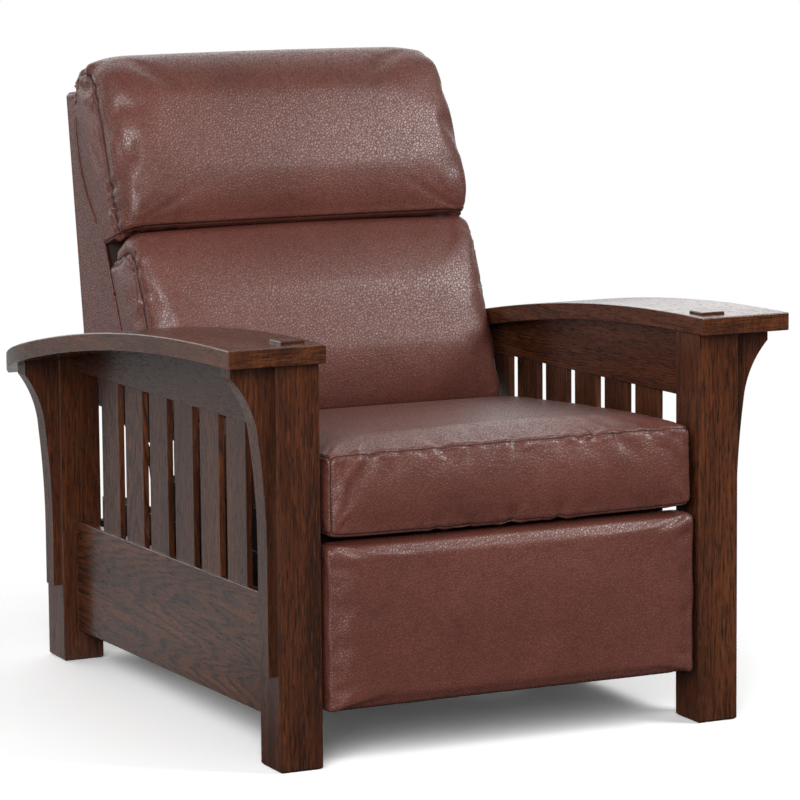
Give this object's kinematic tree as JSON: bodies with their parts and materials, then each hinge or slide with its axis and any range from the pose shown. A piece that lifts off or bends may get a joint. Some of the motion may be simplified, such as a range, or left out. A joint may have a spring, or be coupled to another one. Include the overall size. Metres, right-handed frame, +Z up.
{
  "type": "mission reclining armchair",
  "caption": "Mission-style oak armchair with slatted sides and bowed arms; its leather back reclines, the seat slides forward and a padded footrest unfolds.",
  "frame": {"origin": "on the floor, under the middle of the chair's box at rest", "axes": "+X to the sitter's left seen from the front as the viewer's right, +Y towards the back of the chair, +Z up; the seat faces -Y"},
  "size_m": [0.9202, 1.0114, 0.9634],
  "materials": {
    "oak": "satin",
    "plain_wood": "matte",
    "cushion_leather": "satin",
    "case_leather": "satin",
    "black_steel": "satin",
    "spring_steel": "satin",
    "zinc_steel": "satin",
    "nylon": "matte"
  },
  "bodies": {
    "frame": {"arm_left": "oak", "arm_peg_left": "oak", "arm_peg_right": "oak", "arm_right": "oak", "corbel_front_left": "oak", "corbel_front_right": "oak", "corbel_rear_left": "oak", "corbel_rear_right": "oak", "front_stretcher": "plain_wood", "leg_front_left": "oak", "leg_front_right": "oak", "leg_rear_left": "oak", "leg_rear_right": "oak", "lower_rail_left": "oak", "lower_rail_right": "oak", "rear_stretcher": "plain_wood", "slat_1_left": "oak", "slat_1_right": "oak", "slat_2_left": "oak", "slat_2_right": "oak", "slat_3_left": "oak", "slat_3_right": "oak", "slat_4_left": "oak", "slat_4_right": "oak", "slat_5_left": "oak", "slat_5_right": "oak", "slat_6_left": "oak", "slat_6_right": "oak", "track_left": "black_steel", "track_right": "black_steel", "track_screws": "zinc_steel", "upper_rail_left": "oak", "upper_rail_right": "oak"},
    "seat": {"seat_side_right": "plain_wood", "seat_side_left": "plain_wood", "seat_front_rail": "plain_wood", "seat_rear_rail": "plain_wood", "seat_springs": "spring_steel", "seat_glides": "nylon", "link_plate_right": "black_steel", "link_plate_left": "black_steel", "hinge_plates": "black_steel", "hinge_bolts": "zinc_steel", "seat_cushion": "cushion_leather"},
    "back": {"outer_back": "case_leather", "back_stile_right": "plain_wood", "back_stile_left": "plain_wood", "back_bottom_rail": "plain_wood", "back_top_rail": "plain_wood", "back_springs": "spring_steel", "back_brackets": "black_steel", "lower_back_cushion": "cushion_leather", "head_pillow": "cushion_leather"},
    "rear_link_pair": {"rear_links": "black_steel", "link_tube": "black_steel"},
    "front_link_pair": {"front_links": "black_steel"},
    "footrest": {"footrest_board": "plain_wood", "footrest_brackets": "black_steel", "footrest_pad": "cushion_leather"}
  },
  "joints": [
    {"name": "seat_slide", "type": "slide", "parent": "frame", "child": "seat", "axis": [0, -0.9998, 0.019], "range_m": [0, 0.045]},
    {"name": "back_recline", "type": "hinge", "parent": "seat", "child": "back", "pos_m": [0, 0.15777, 0.35357], "axis": [-1, 0, 0], "range_deg": [0, 25]},
    {"name": "footrest_lift", "type": "hinge", "parent": "seat", "child": "rear_link_pair", "pos_m": [0, -0.37139, 0.29762], "axis": [-1, 0, 0], "range_deg": [0, 100]},
    {"name": "knee_unfold", "type": "hinge", "parent": "rear_link_pair", "child": "front_link_pair", "pos_m": [0, -0.37443, 0.13765], "axis": [1, 0, 0], "range_deg": [0, 148.5]},
    {"name": "footrest_turn", "type": "hinge", "parent": "front_link_pair", "child": "footrest", "pos_m": [0, -0.43157, 0.28877], "axis": [-1, 0, 0], "range_deg": [0, 138.5]}
  ],
  "couplings": [
    {"joint": "seat_slide", "follows": "back_recline", "m_per_rad": 0.103},
    {"joint": "knee_unfold", "follows": "footrest_lift", "ratio": 1.482},
    {"joint": "footrest_turn", "follows": "footrest_lift", "ratio": 1.382}
  ]
}
